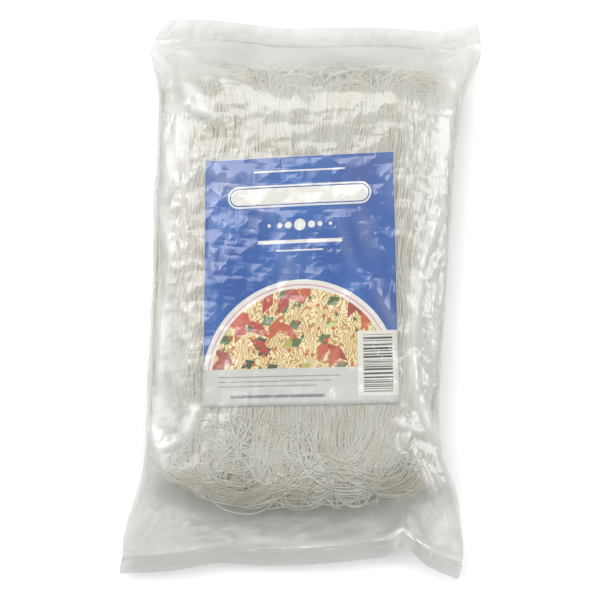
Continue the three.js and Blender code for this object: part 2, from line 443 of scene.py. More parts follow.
def noodle_material():
    """Extruded, air-dried rice vermicelli.

    The strands are ivory to grey-white and slightly waxy, and each has its own tone. Light
    passes through them, so that the gaps between them stay pale.
    """
    material, tree = new_material("dried_rice_vermicelli")
    tone = add_node(tree, "ShaderNodeAttribute", {"attribute_name": "tone"})
    place = add_node(tree, "ShaderNodeTexCoord")
    patch = add_node(tree, "ShaderNodeTexNoise", None,
                     {"Vector": place.outputs["Object"], "Scale": 1 / TONE_PATCH,
                      "Detail": 2.0})
    blend = add_node(tree, "ShaderNodeMath", {"operation": "MULTIPLY_ADD"},
                     {0: tone.outputs["Fac"], 1: TONE_SHARES[1] - TONE_SHARES[0],
                      2: TONE_SHARES[0]})
    both = add_node(tree, "ShaderNodeMath", {"operation": "MULTIPLY"},
                    {0: blend.outputs[0], 1: patch.outputs["Fac"]})
    twice = add_node(tree, "ShaderNodeMath", {"operation": "MULTIPLY"},
                     {0: both.outputs[0], 1: 2.0})
    colour = add_node(tree, "ShaderNodeValToRGB", None, {0: twice.outputs[0]})
    set_ramp(colour, [(0.1, "#f7f4e9"), (0.5, "#fbfaf5"), (0.95, "#fefefd")])
    skin = add_node(tree, "ShaderNodeBsdfPrincipled", None,
                    {"Base Color": colour.outputs[0], "Roughness": 0.5,
                     "Specular IOR Level": 0.25})
    through = add_node(tree, "ShaderNodeBsdfTranslucent", None, {"Color": colour.outputs[0]})
    strand = add_node(tree, "ShaderNodeMixShader", None,
                      {0: LIGHT_THROUGH, 1: skin.outputs[0], 2: through.outputs[0]})
    add_node(tree, "ShaderNodeOutputMaterial", None, {"Surface": strand.outputs[0]})
    return material


def core_material():
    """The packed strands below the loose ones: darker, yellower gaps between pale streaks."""
    material, tree = new_material("packed_rice_vermicelli")
    place = add_node(tree, "ShaderNodeTexCoord")
    along = add_node(tree, "ShaderNodeMapping", None,
                     {"Vector": place.outputs["Object"],
                      "Scale": (1 / STREAK_WIDTH, 1 / STREAK_LENGTH, 1 / STREAK_WIDTH)})
    streaks = add_node(tree, "ShaderNodeTexNoise", None,
                       {"Vector": along.outputs[0], "Scale": 1.0, "Detail": 3.0,
                        "Distortion": 0.4})
    colour = add_node(tree, "ShaderNodeValToRGB", None, {0: streaks.outputs["Fac"]})
    # The darker, yellower streaks are painted shade in the gaps between the packed strands, over
    # the strands' own ivory tone.
    set_ramp(colour, [(0.3, "#f0ebdc"), (0.5, "#f8f5ec"), (0.7, "#fdfcf9")])
    bump = add_node(tree, "ShaderNodeBump", None,
                    {"Strength": 0.8, "Distance": 0.8 * MM, "Height": streaks.outputs["Fac"]})
    skin = add_node(tree, "ShaderNodeBsdfPrincipled", None,
                    {"Base Color": colour.outputs[0], "Roughness": 0.6,
                     "Normal": bump.outputs[0]})
    add_node(tree, "ShaderNodeOutputMaterial", None, {"Surface": skin.outputs[0]})
    return material


FLOOR_PATCH = 1 / 3


def floor_material():
    """Pale matt studio paper, with the faintest unevenness, in patches of a foot or so."""
    material, tree = new_material("pale_studio_paper")
    place = add_node(tree, "ShaderNodeTexCoord")
    cloud = add_node(tree, "ShaderNodeTexNoise", None,
                     {"Vector": place.outputs["Object"], "Scale": 1 / FLOOR_PATCH})
    colour = add_node(tree, "ShaderNodeValToRGB", None, {0: cloud.outputs["Fac"]})
    set_ramp(colour, [(0.3, "#f4f4f3"), (0.7, "#f7f7f7")])
    paper = add_node(tree, "ShaderNodeBsdfPrincipled", None,
                     {"Base Color": colour.outputs[0], "Roughness": 0.85,
                      "Specular IOR Level": 0.1})
    add_node(tree, "ShaderNodeOutputMaterial", None, {"Surface": paper.outputs[0]})
    return material


# The label's print, in millimetres from its lower left corner
LABEL_WIDTH_MM = 100.0
LABEL_HEIGHT_MM = 127.0
WHITE = "#e9e8e2"
GREY = "#9a9ba0"
BOWL_CENTRE = (50.0, 14.0)
BOWL_RADIUS = 50.0
BOWL_RIM = 4.5
RIM_LINE = 0.8
PANEL_HEIGHT = 19.0
BARS_LEFT = 79.0
BARS_BOTTOM = 4.0
BARS_TOP = 37.0
BARS_MARGINS = (3.0, 2.0)  # beside the stripes, and below and above them
BANNER_CENTRE = (50.0, 107.0)
# The banner's layers as ((half width, half height), ink), without their round ends
BANNER_LAYERS = [((32.0, 5.6), WHITE), ((32.0, 4.7), "#1a54a3"), ((32.0, 4.1), WHITE)]
# Beads as (place across, radius), and rules as (lower left corner, upper right corner, ink)
BEADS = [
    (34.0, 0.9), (39.5, 1.3), (44.0, 1.8), (50.0, 3.0), (56.0, 1.8), (60.5, 1.3), (66.0, 0.9),
]
BEADS_HEIGHT = 92.0
RULES = [
    ((26.0, 119.2), (74.0, 120.0), WHITE), ((28.0, 82.6), (72.0, 84.4), WHITE),
    ((38.0, 78.6), (62.0, 79.4), WHITE), ((8.0, 14.6), (70.0, 15.2), GREY),
    ((8.0, 12.2), (66.0, 12.8), GREY), ((8.0, 9.8), (58.0, 10.4), GREY),
    ((14.0, 4.0), (62.0, 5.6), "#77787d"),
]
BORDER = 0.3
# What lies on the bowl's strands, from the bottom up, as (spacing, size as a share of it, turn
# in degrees, how much longer than wide, inks). Each shape has one ink, drawn by position.
BOWL_LAYERS = [
    (7.5, 0.36, 25, 1.5, [(0.0, "#55703c"), (0.6, "#2f4b2c"), (0.8, "#b5b24a")]),
    (8.0, 0.36, -40, 2.6, [(0.0, "#b5402e"), (0.4, "#c9553a"), (0.75, "#a63a2c")]),
    (8.5, 0.34, 65, 2.4, [(0.0, "#b5402e"), (0.5, "#c95f3a"), (0.8, "#a63a2c")]),
    (4.0, 0.26, 75, 1.3, [(0.0, "#cc6a40"), (0.5, "#d9a15a"), (0.8, "#4d6a38")]),
]
BOWL_LEFT_BARE = 0.42  # share of the shapes' places that stay bare
PRINTED_STRAND_MM = 1.9635
WAVE_AT_SCALE_1 = math.pi / 10  # the length of a wave texture's bands at a scale of 1
STRIPE_MM = 1.0526
INK_PATCH_MM = 100 / 3
PAPER_FIBRE_MM = 1.11


def inside_disc(tree, point, centre, radius):
    """1 inside a disc of the print and 0 outside."""
    away = add_node(tree, "ShaderNodeVectorMath", {"operation": "DISTANCE"},
                    {0: point, 1: (centre[0], centre[1], 0)})
    return add_node(tree, "ShaderNodeMath", {"operation": "LESS_THAN"},
                    {0: away.outputs["Value"], 1: radius}).outputs[0]


def inside_box(tree, point, low, high):
    """1 inside an upright rectangle of the print and 0 outside."""
    split = add_node(tree, "ShaderNodeSeparateXYZ", None, {0: point})
    masks = []
    for axis in range(2):
        middle = (low[axis] + high[axis]) / 2
        half = (high[axis] - low[axis]) / 2
        masks.append(add_node(tree, "ShaderNodeMath", {"operation": "COMPARE"},
                              {0: split.outputs[axis], 1: middle, 2: half}).outputs[0])
    return add_node(tree, "ShaderNodeMath", {"operation": "MULTIPLY"},
                    {0: masks[0], 1: masks[1]}).outputs[0]


def printed_over(tree, ground, ink, mask):
    """The ink's colour where the mask is 1, and the ground's elsewhere."""
    below, above = (
        linear(colour) if isinstance(colour, str) else colour for colour in (ground, ink)
    )
    mix = add_node(tree, "ShaderNodeMix", {"data_type": "RGBA"},
                   {"Factor": mask, 6: below, 7: above})
    return mix.outputs[2]


def bowl_print(tree, point):
    """Golden wavy strands with scattered slivers and dots, as flat shapes of ink."""
    strands = add_node(tree, "ShaderNodeTexWave", {"wave_type": "BANDS"},
                       {"Vector": point, "Scale": WAVE_AT_SCALE_1 / PRINTED_STRAND_MM,
                        "Distortion": 24.0, "Detail": 2.0, "Detail Scale": 0.9})
    colour = add_node(tree, "ShaderNodeValToRGB", None, {0: strands.outputs["Fac"]})
    set_ramp(colour, [(0.05, "#b98a45"), (0.35, "#e3c37a"), (0.7, "#f3e6bd")])
    ground = colour.outputs[0]
    for spacing, size, turn, stretch, inks in BOWL_LAYERS:
        turned = add_node(tree, "ShaderNodeMapping", {"vector_type": "TEXTURE"},
                          {"Vector": point, "Location": (3 * turn, turn, 0),
                           "Rotation": (0, 0, math.radians(turn)),
                           "Scale": (spacing * stretch, spacing, 1)})
        cells = add_node(tree, "ShaderNodeTexVoronoi",
                         {"voronoi_dimensions": "2D", "distance": "MANHATTAN"},
                         {"Vector": turned.outputs[0], "Scale": 1.0, "Randomness": 0.9})
        shape = add_node(tree, "ShaderNodeMath", {"operation": "LESS_THAN"},
                         {0: cells.outputs["Distance"], 1: size})
        drawn = add_node(tree, "ShaderNodeSeparateColor", None, {0: cells.outputs["Color"]})
        chosen = add_node(tree, "ShaderNodeMath", {"operation": "GREATER_THAN"},
                          {0: drawn.outputs[1], 1: BOWL_LEFT_BARE})
        mask = add_node(tree, "ShaderNodeMath", {"operation": "MULTIPLY"},
                        {0: shape.outputs[0], 1: chosen.outputs[0]})
        ink = add_node(tree, "ShaderNodeValToRGB", None, {0: drawn.outputs[0]})
        set_ramp(ink, inks, "CONSTANT")
        ground = printed_over(tree, ground, ink.outputs[0], mask.outputs[0])
    return ground


def bar_print(tree, point):
    """Plain stripes of uneven width across the small white panel."""
    split = add_node(tree, "ShaderNodeSeparateXYZ", None, {0: point})
    stripes = add_node(tree, "ShaderNodeTexNoise", {"noise_dimensions": "1D"},
                       {"W": split.outputs[1], "Scale": 1 / STRIPE_MM, "Detail": 1.0})
    colour = add_node(tree, "ShaderNodeValToRGB", None, {0: stripes.outputs["Fac"]})
    set_ramp(colour, [(0.0, "#3d3f46"), (0.5, WHITE)], "CONSTANT")
    return colour.outputs[0]


def label_material():
    """Printed paper with a dull coating: smooth flat inks, and white along its trimmed edges."""
    material, tree = new_material("dull_coated_label_paper")
    place = add_node(tree, "ShaderNodeUVMap", {"uv_map": "print_mm"})
    point = place.outputs[0]
    patches = add_node(tree, "ShaderNodeTexNoise", None,
                       {"Vector": point, "Scale": 1 / INK_PATCH_MM})
    blue = add_node(tree, "ShaderNodeValToRGB", None, {0: patches.outputs["Fac"]})
    set_ramp(blue, [(0.3, "#0a4ba2"), (0.7, "#1d66b8")])
    ink = blue.outputs[0]
    ink = printed_over(tree, ink, WHITE, inside_disc(tree, point, BOWL_CENTRE, BOWL_RADIUS))
    rim = inside_disc(tree, point, BOWL_CENTRE, BOWL_RADIUS - BOWL_RIM / 2)
    ink = printed_over(tree, ink, "#d9a9b8", rim)
    rim = inside_disc(tree, point, BOWL_CENTRE, BOWL_RADIUS - BOWL_RIM / 2 - RIM_LINE)
    ink = printed_over(tree, ink, WHITE, rim)
    food = inside_disc(tree, point, BOWL_CENTRE, BOWL_RADIUS - BOWL_RIM)
    ink = printed_over(tree, ink, bowl_print(tree, point), food)
    for half, banner_ink in BANNER_LAYERS:
        low = (BANNER_CENTRE[0] - half[0], BANNER_CENTRE[1] - half[1])
        high = (BANNER_CENTRE[0] + half[0], BANNER_CENTRE[1] + half[1])
        ink = printed_over(tree, ink, banner_ink, inside_box(tree, point, low, high))
        for side in (-1, 1):
            end = (BANNER_CENTRE[0] + side * half[0], BANNER_CENTRE[1])
            ink = printed_over(tree, ink, banner_ink, inside_disc(tree, point, end, half[1]))
    for across, radius in BEADS:
        bead = inside_disc(tree, point, (across, BEADS_HEIGHT), radius)
        ink = printed_over(tree, ink, WHITE, bead)
    panel = inside_box(tree, point, (0, 0), (LABEL_WIDTH_MM, PANEL_HEIGHT))
    ink = printed_over(tree, ink, "#cfcfce", panel)
    for low, high, rule_ink in RULES:
        ink = printed_over(tree, ink, rule_ink, inside_box(tree, point, low, high))
    bars_low, bars_high = (BARS_LEFT, BARS_BOTTOM), (LABEL_WIDTH_MM, BARS_TOP)
    ink = printed_over(tree, ink, WHITE, inside_box(tree, point, bars_low, bars_high))
    bars_low = (BARS_LEFT + BARS_MARGINS[0], BARS_BOTTOM + BARS_MARGINS[1])
    bars_high = (LABEL_WIDTH_MM - BARS_MARGINS[0], BARS_TOP - BARS_MARGINS[1])
    ink = printed_over(tree, ink, bar_print(tree, point),
                       inside_box(tree, point, bars_low, bars_high))
    trimmed = (LABEL_WIDTH_MM - BORDER, LABEL_HEIGHT_MM - BORDER)
    inner = inside_box(tree, point, (BORDER, -1), trimmed)
    ink = printed_over(tree, WHITE, ink, inner)
    fibre = add_node(tree, "ShaderNodeTexNoise", None,
                     {"Vector": point, "Scale": 1 / PAPER_FIBRE_MM})
    bump = add_node(tree, "ShaderNodeBump", None,
                    {"Strength": 0.1, "Distance": 0.1 * MM, "Height": fibre.outputs["Fac"]})
    paper = add_node(tree, "ShaderNodeBsdfPrincipled", None,
                     {"Base Color": ink, "Roughness": 0.5, "Specular IOR Level": 0.2,
                      "Normal": bump.outputs[0]})
    add_node(tree, "ShaderNodeOutputMaterial", None, {"Surface": paper.outputs[0]})
    return material


# The film: two skins joined along the sides and in the seals, settled over the bundle

FILM_COLUMNS = 56
FILM_ROWS = 88
SEALED_BELOW = 0.033
SEALED_ABOVE = 0.964
CUT_WIDTH = 192 * MM  # lay-flat size of the tube that the bag is cut from
CUT_LENGTH = 298 * MM
SKIN_PAIR = 0.4 * MM  # half the distance between the two skins when the tube lies flat
SIDE_CROWDING = 0.5  # how far the columns crowd towards the sides
SIM_SCALE = 10.0  # cloth settles in fewer frames when it is simulated at ten times size
SIM_FRAMES = 30
COLLIDER_ACROSS = (0.02, 0.98)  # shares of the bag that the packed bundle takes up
COLLIDER_ALONG = (0.085, 0.935)
COLLIDER_COLUMNS = 40
COLLIDER_ROWS = 60
COLLIDER_FLOOR_REACH = 4.0


def film_grid():
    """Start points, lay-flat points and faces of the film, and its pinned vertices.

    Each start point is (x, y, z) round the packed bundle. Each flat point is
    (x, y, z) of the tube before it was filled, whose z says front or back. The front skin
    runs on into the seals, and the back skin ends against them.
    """
    u = np.linspace(0, 1, FILM_COLUMNS + 1)
    v = np.linspace(0, 1, FILM_ROWS + 1)
    crowded = lerp(u, (1 - np.cos(math.pi * u)) / 2, SIDE_CROWDING)
    across, along = np.meshgrid(crowded, v)
    x, y = plan_point(across, along)
    front, back = pack_heights(x, y)
    even = np.meshgrid(u, v)[0]
    flat_x = (even - 0.5) * CUT_WIDTH
    flat_y = (along - 0.5) * CUT_LENGTH

    start, flat, pinned, number = [], [], [], {}
    sealed = (v < SEALED_BELOW) | (v > SEALED_ABOVE)

    def corner(side, column, row):
        at_side = column in (0, FILM_COLUMNS)
        joined = at_side or sealed[row]
        key = (0 if at_side else side, column, row)
        if key not in number:
            number[key] = len(start)
            middle = (front[row, column] + back[row, column]) / 2
            height = middle if joined else (front, back)[side][row, column]
            lift = 0 if at_side else (SKIN_PAIR, -SKIN_PAIR)[side]
            start.append((x[row, column], y[row, column], height))
            flat.append((flat_x[row, column], flat_y[row, column], lift))
            if sealed[row]:
                pinned.append(number[key])
        return number[key]

    faces = []
    for row in range(FILM_ROWS):
        for column in range(FILM_COLUMNS):
            ring = [(column, row), (column + 1, row), (column + 1, row + 1), (column, row + 1)]
            faces.append(tuple(corner(0, *place) for place in ring))
            if not (sealed[row] and sealed[row + 1]):
                faces.append(tuple(corner(1, *place) for place in ring[::-1]))
    return np.array(start), np.array(flat), faces, pinned


def bundle_collider():
    """The bundle as a closed block that the film settles over."""
    share = (1 - np.cos(math.pi * np.linspace(0, 1, COLLIDER_COLUMNS + 1))) / 2
    u, v = np.meshgrid(lerp(*COLLIDER_ACROSS, share),
                       np.linspace(*COLLIDER_ALONG, COLLIDER_ROWS + 1))
    x, y = plan_point(u, v)
    front, back = bundle_heights(x, y)
    return closed_block("collider_bundle", x * SIM_SCALE, y * SIM_SCALE,
                        front * SIM_SCALE, back * SIM_SCALE)


def settle_film(start, flat, faces, pinned):
    """Lets the film settle by cloth simulation, and gives its points."""
    film = new_piece("settling_film", start * SIM_SCALE, faces)
    film.shape_key_add(name="packed")
    cut = film.shape_key_add(name="lay_flat")
    for point, place in zip(cut.data, flat * SIM_SCALE):
        point.co = place
    film.vertex_groups.new(name="seals").add(pinned, 1.0, "REPLACE")
    colliders = [bundle_collider(), flat_square("collider_floor", COLLIDER_FLOOR_REACH)]
    for collider in colliders:
        collider.modifiers.new("collision", "COLLISION")
        collider.collision.thickness_outer = 0.004
        collider.collision.cloth_friction = 2
    cloth = film.modifiers.new("cloth", "CLOTH")
    settings = cloth.settings
    settings.quality = 6
    settings.mass = 0.02
    settings.air_damping = 2
    settings.tension_stiffness = 60
    settings.compression_stiffness = 60
    settings.shear_stiffness = 30
    settings.bending_stiffness = 0.2
    settings.tension_damping = 8
    settings.compression_damping = 8
    settings.shear_damping = 8
    settings.bending_damping = 1
    settings.use_pressure = True
    settings.uniform_pressure_force = 0.03
    settings.vertex_group_mass = "seals"
    settings.pin_stiffness = 1
    settings.rest_shape_key = cut
    settings.effector_weights.gravity = 0.2
    cloth.collision_settings.distance_min = 0.006
    cloth.collision_settings.collision_quality = 3
    cloth.point_cache.frame_start = 1
    cloth.point_cache.frame_end = SIM_FRAMES
    for number in range(1, SIM_FRAMES + 1):
        bpy.context.scene.frame_set(number)
    depsgraph = bpy.context.evaluated_depsgraph_get()
    settled = vertex_triples(film.evaluated_get(depsgraph).data, "co") / SIM_SCALE
    for extra in [film] + colliders:
        bpy.data.objects.remove(extra)
    bpy.context.scene.frame_set(1)
    return settled


# Stiff folds of the film, as (from, to, height, half width) in millimetres of the plan, and
# how milky each is, from 0 to 1, where the film is pleated on itself. The milkiness is partly
# the doubled film of the pleat and partly a painted highlight along the fold.
FRONT_FOLDS = [
    ((-78, 134), (-51, 121), 1.8, 7.0, 0.4),
    ((-78, 132), (-66, 117), 1.2, 5.0, 0.4),
    ((94, 129), (76, 123), 1.8, 6.0, 0.4),
    ((78, 114), (80, 107), 1.3, 2.5, 0.8),
    ((-60, 111), (-50, 103), 1.6, 5.0, 0.8),
    ((-56, 101), (-44, 93), 1.6, 5.0, 0.8),
    ((-52, 117), (-24, 109), 1.5, 6.0, 0.5),
    ((72, 50), (60, 12), 2.0, 5.0, 0.7),
    ((61, 18), (56.5, -30), 2.4, 5.0, 1.0),
    ((56.5, -20), (60, -52), 2.4, 4.5, 1.0),
    ((58, -44), (73, -83), 2.2, 4.5, 0.8),
    ((57, -76), (70, -103), 1.8, 3.5, 0.6),
    ((48, -62), (65, -69), 1.8, 4.0, 0.9),
    ((52, -76), (60, -58), 1.6, 4.0, 0.8),
    ((-77, -61), (-70, -86), 1.6, 4.0, 0.8),
    ((-76, -78), (-61, -71), 1.5, 3.5, 0.8),
    ((-59, -73), (-53, -54), 1.5, 5.5, 0.9),
    ((-71, -103), (-88, -123), 2.4, 5.0, 0.4),
    ((36, -114), (44, -122), 1.6, 3.0, 0.7),
    ((-70, 92), (-66, 60), 1.5, 5.0, 0.5),
    ((-74, 60), (-66, 20), 1.3, 5.0, 0.5),
    ((-66, 30), (-72, -40), 1.1, 5.0, 0.4),
    ((-46, 68), (-34, 56), 0.9, 9.0, 0.3),
    ((-22, 54), (-12, 40), 0.8, 7.0, 0.25),
    ((38, 6), (50, -16), 0.8, 4.5, 0.3),
]
CREASE_FADE = (0.12, 0.88)  # a crease is a half wave along its length, cut off at both ends
CREASE_SEED = 11
LOOSE_CREASES = 90
LEAST_WANTED = 0.12  # the chance of one in the middle. It rises towards the sides and ends.
LOOSE_SPREAD = 28  # degrees that their headings stray from the length of the bag
LOOSE_LENGTHS_MM = (12, 45)
LOOSE_HEIGHTS_MM = (0.25, 0.9)
LOOSE_HALF_WIDTHS_MM = (3.0, 7.0)
# Milkiness of the loose creases: partly doubled film, partly a painted highlight along them.
LOOSE_MILK_AND_HIGHLIGHT = 0.2
LOOSE_ON_FRONT = 0.62  # share of them on the front skin


def crease_list():
    """The stiff folds, and short creases scattered where the film isn't stretched flat."""
    random = np.random.default_rng(CREASE_SEED)
    creases = []
    for start, end, height, half_width, milk_and_painted_light in FRONT_FOLDS:
        line = np.array(start) * MM, np.array(end) * MM
        creases.append((*line, height * MM, half_width * MM, 1, milk_and_painted_light))
    while len(creases) < len(FRONT_FOLDS) + LOOSE_CREASES:
        u, v = random.uniform(0.04, 0.96), random.uniform(0.05, 0.95)
        at_side = abs(2 * u - 1)
        at_end = abs(2 * v - 1)
        wanted = LEAST_WANTED + at_side ** 4 + 0.8 * at_end ** 6
        if random.uniform() > wanted:
            continue
        x, y = plan_point(np.array(u), np.array(v))
        heading = math.radians(90 + random.normal(0, LOOSE_SPREAD))
        length = random.uniform(*LOOSE_LENGTHS_MM) * MM
        height = random.uniform(*LOOSE_HEIGHTS_MM) * MM * lerp(0.45, 1, at_side)
        half_width = random.uniform(*LOOSE_HALF_WIDTHS_MM) * MM
        step = np.array([math.cos(heading), math.sin(heading)]) * length / 2
        middle = np.array([float(x), float(y)])
        side = 1 if random.uniform() < LOOSE_ON_FRONT else -1
        milk_and_painted_light = random.uniform(0, LOOSE_MILK_AND_HIGHLIGHT)
        creases.append((middle - step, middle + step, height, half_width, side, milk_and_painted_light))
    return creases


def crease_rise(points, side):
    """How far each point of the film stands out on its creases, and how milky it is there, partly
    a painted highlight along them.
    """
    rise = np.zeros(len(points))
    pleat_and_highlight = np.zeros(len(points))
    plan = points[:, :2]
    for start, end, height, half_width, crease_side, milk_and_painted_light in crease_list():
        line = end - start
        share = np.clip(((plan - start) @ line) / (line @ line), 0, 1)
        away = np.linalg.norm(plan - start - share[:, None] * line, axis=1)
        tent = np.clip(1 - away / half_width, 0, 1)
        tent = tent * np.sin(math.pi * lerp(*CREASE_FADE, share))
        tent = tent * (side * crease_side > 0.5)
        rise = np.maximum(rise, height * tent)
        pleat_and_highlight = np.maximum(pleat_and_highlight, milk_and_painted_light * tent)
    return rise, pleat_and_highlight


FACET_COUNT = 210
FACET_SEED = 23
FACET_SLOPE = 0.13
FACET_HEIGHT_LIMIT = 1.3 * MM
FACET_SIDE = (0.55, 0.9)  # where facets start to run along the bag, and where all of them do
FACET_STRETCH = (0.6, 0.35)  # their width as a share of their length, in the middle and there
FACET_SLACK = (0.45, 0.8)  # how far they stand off, from the middle of the bag to its sides


def facet_rise(points, u):
    """Flat facets of slack film: it touches at scattered points and stands off between them."""
    random = np.random.default_rng(FACET_SEED)
    seeds_x = random.uniform(cad_low.x, cad_high.x, FACET_COUNT)
    seeds_y = random.uniform(cad_low.y, cad_high.y, FACET_COUNT)
    turns = random.uniform(0, 1, FACET_COUNT)
    nearest = np.full(len(points), 1.0)
    off_centre = np.abs(2 * u - 1)
    at_side = smoothstep(*FACET_SIDE, off_centre)
    for x, y, turn in zip(seeds_x, seeds_y, turns * np.pi / 2):
        turned = turn * (1 - at_side)
        cosine, sine = np.cos(turned), np.sin(turned)
        along = (points[:, 0] - x) * cosine + (points[:, 1] - y) * sine
        across = (points[:, 1] - y) * cosine - (points[:, 0] - x) * sine
        stretch = lerp(*FACET_STRETCH, at_side)
        nearest = np.minimum(nearest, np.maximum(np.abs(along), stretch * np.abs(across)))
    slack = lerp(*FACET_SLACK, off_centre ** 2)
    return np.minimum(nearest * FACET_SLOPE, FACET_HEIGHT_LIMIT) * slack


# How milky the film is, as the share of light that it scatters instead of letting it
# through: along its middle as (share of the length, milkiness), and what is added to that.
# Along the middle it is partly the film's own haze, heavier in the seals and towards the top,
# and partly painted light: raised over the bottom seal, the film just above it and the lower
# noodles to lighten them, and cut in the shadowed gap under the bundle to keep it dark.
MIDDLE_MILK_AND_PAINTED_LIGHT = [
    (0.0, 0.24), (0.035, 0.22), (0.05, 0.13), (0.09, 0.1), (0.12, 0.02), (0.155, 0.02),
    (0.2, 0.14), (0.3, 0.14), (0.4, 0.065), (0.72, 0.065), (0.84, 0.16), (1.0, 0.2),
]
# Pleat milk is partly doubled film and partly a painted highlight along the folds.
PLEAT_MILK_AND_HIGHLIGHT = 0.38
# The side milk is painted sheen: the glare and grazing haze of the film's sloping shoulders,
# painted as extra milkiness.
SIDE_PAINTED_SHEEN = 0.34
SHOULDER = (0.5, 0.82)  # where the painted side sheen sets in, from 0 in the middle to 1 at the side
WALL = (0.84, 0.95)
WALL_SHEEN_LOST = 0.85  # share of the painted side sheen that is gone again down the steep side walls
SIDE_SHEEN_STARTS = (0.12, 0.3)
SIDE_SHEEN_ENDS = (0.8, SEALED_ABOVE)

SEAL_RIB_PITCH = 9 * MM
SEAL_RIB_HEIGHT = 0.4 * MM
RIBS_AT = (33 * MM, 140 * MM)  # where the seals are ribbed the most
RIBS_REACH = 18 * MM
FAINTEST_RIBS = 0.25


def film_milk(u, v, pleat_and_highlight):
    """How milky each point of the film is, at shares u across and v along it."""
    off_centre = np.abs(2 * u - 1)
    shoulder = smoothstep(*SHOULDER, off_centre)
    shoulder = shoulder * (1 - WALL_SHEEN_LOST * smoothstep(*WALL, off_centre))
    over_bundle = smoothstep(*SIDE_SHEEN_STARTS, v) * (1 - smoothstep(*SIDE_SHEEN_ENDS, v))
    # Painted sheen along the shoulders, as extra milkiness.
    slack = SIDE_PAINTED_SHEEN * shoulder * over_bundle
    return curve_through(MIDDLE_MILK_AND_PAINTED_LIGHT)(v) + PLEAT_MILK_AND_HIGHLIGHT * pleat_and_highlight + slack


def unroll_film(mesh, skin, flat_x, flat_y):
    """Lays the film out flat in its UV map, with the back skin beyond the front's right side."""
    layer = mesh.uv_layers.new(name="lay_flat_mm")
    corners = corner_vertices(mesh)
    on_back = skin[corners].reshape(-1, 4).mean(axis=1) < 0
    unrolled = flat_x[corners].reshape(-1, 4)
    unrolled = np.where(on_back[:, None], CUT_WIDTH - unrolled, unrolled).ravel()
    flat_mm = np.stack([unrolled, flat_y[corners]], axis=1) / MM
    layer.data.foreach_set("uv", flat_mm.ravel())


def make_film(material):
    """The bag: settled, subdivided once, creased, and ribbed in its heat seals."""
    start, flat, faces, pinned = film_grid()
    points = settle_film(start, flat, faces, pinned)
    film = new_piece("film_bag", points, faces, material)
    store(film.data, "flat_x", flat[:, 0])
    store(film.data, "flat_y", flat[:, 1])
    store(film.data, "skin", np.sign(flat[:, 2]))
    smooth = film.modifiers.new("smooth", "SUBSURF")
    smooth.levels = smooth.render_levels = 1
    freeze(film)
    mesh = film.data
    skin, flat_x, flat_y = (stored(mesh, name) for name in ("skin", "flat_x", "flat_y"))
    u = flat_x / CUT_WIDTH + 0.5
    v = flat_y / CUT_LENGTH + 0.5
    points = vertex_triples(mesh, "co")
    outward = vertex_triples(mesh, "normal")
    rise, pleat_and_highlight = crease_rise(points, skin)
    rise = rise + facet_rise(points, u)
    rise = rise * smoothstep(0, SEALED_BELOW, np.minimum(v - SEALED_BELOW, SEALED_ABOVE - v))
    in_seal = ((v < SEALED_BELOW) | (v > SEALED_ABOVE)) & (skin > 0)
    store(mesh, "sealed", in_seal * 1.0)
    # Milkiness: partly the film's haze, partly painted light, painted sheen and painted
    # highlight.
    store(mesh, "milk_and_painted_light", film_milk(u, v, pleat_and_highlight))
    from_ribs = np.hypot(points[:, 0] - RIBS_AT[0], points[:, 1] - RIBS_AT[1])
    ribbed = lerp(1.0, FAINTEST_RIBS, smoothstep(0, RIBS_REACH, from_ribs))
    rib = SEAL_RIB_HEIGHT * ribbed * wave(flat_x, SEAL_RIB_PITCH)
    points = points + outward * np.where(in_seal, rib, rise)[:, None]
    points[:, 2] = np.maximum(points[:, 2], 0)
    set_points(mesh, points)
    unroll_film(mesh, skin, flat_x, flat_y)
    shade_smooth(mesh)
    return film


# The label: a sheet of paper that bends with the bundle, just under the film

LABEL_BOTTOM_LEFT = (-49.8 * MM, -54.7 * MM)
LABEL_BOTTOM_RIGHT = (51 * MM, -52.7 * MM)
LABEL_TOP_LEFT = (-48.7 * MM, 71.1 * MM)
LABEL_TOP_RIGHT = (48 * MM, 76.2 * MM)
LABEL_LIFT = 0.55 * MM
LABEL_PAPER = 0.2 * MM
LABEL_COLUMNS = 40
LABEL_ROWS = 50


def make_label(material):
    """The label, laid over the bundle from its four corners, with the print's UV map."""
    s, t = np.meshgrid(np.linspace(0, 1, LABEL_COLUMNS + 1), np.linspace(0, 1, LABEL_ROWS + 1))
    x, y = (
        lerp(lerp(LABEL_BOTTOM_LEFT[axis], LABEL_BOTTOM_RIGHT[axis], s),
             lerp(LABEL_TOP_LEFT[axis], LABEL_TOP_RIGHT[axis], s), t)
        for axis in range(2)
    )
    front = bundle_heights(x, y)[0] + LABEL_LIFT
    label = closed_block("label_sheet", x, y, front, front - LABEL_PAPER, material)
    layer = label.data.uv_layers.new(name="print_mm")
    place = np.stack([s.ravel() * LABEL_WIDTH_MM, t.ravel() * LABEL_HEIGHT_MM], axis=1)
    both_faces = np.concatenate([place, place])
    layer.data.foreach_set("uv", both_faces[corner_vertices(label.data)].ravel())
    shade_smooth(label.data)
    return label


# The noodles: strands drawn as (x, y, depth) paths and laid under the bundle's skin

BUNDLE_BOTTOM = -99 * MM
BUNDLE_TOP = 113 * MM
BOTTOM_CORNERS = (28 * MM, 16 * MM)  # how far the bundle's left and right corners draw in
TOP_CORNERS = (10 * MM, 10 * MM)
SIDE_MARGINS = (0.03, 0.05)  # shares of the bag's width that are empty at its left and right
LOW_INSET = 0.06  # and what is added to both, where the bundle rounds off at its bottom
ROUNDED_FROM = -60 * MM
ROUNDED_FULL = -95 * MM
EDGE_MARGIN = 0.02  # and the least that any strand keeps clear
SWIRL_THICKNESS = 3 * MM  # the long strands pass under the swirls at the bottom
SWIRLS_FROM = -56 * MM
SWIRLS_FULL = -80 * MM

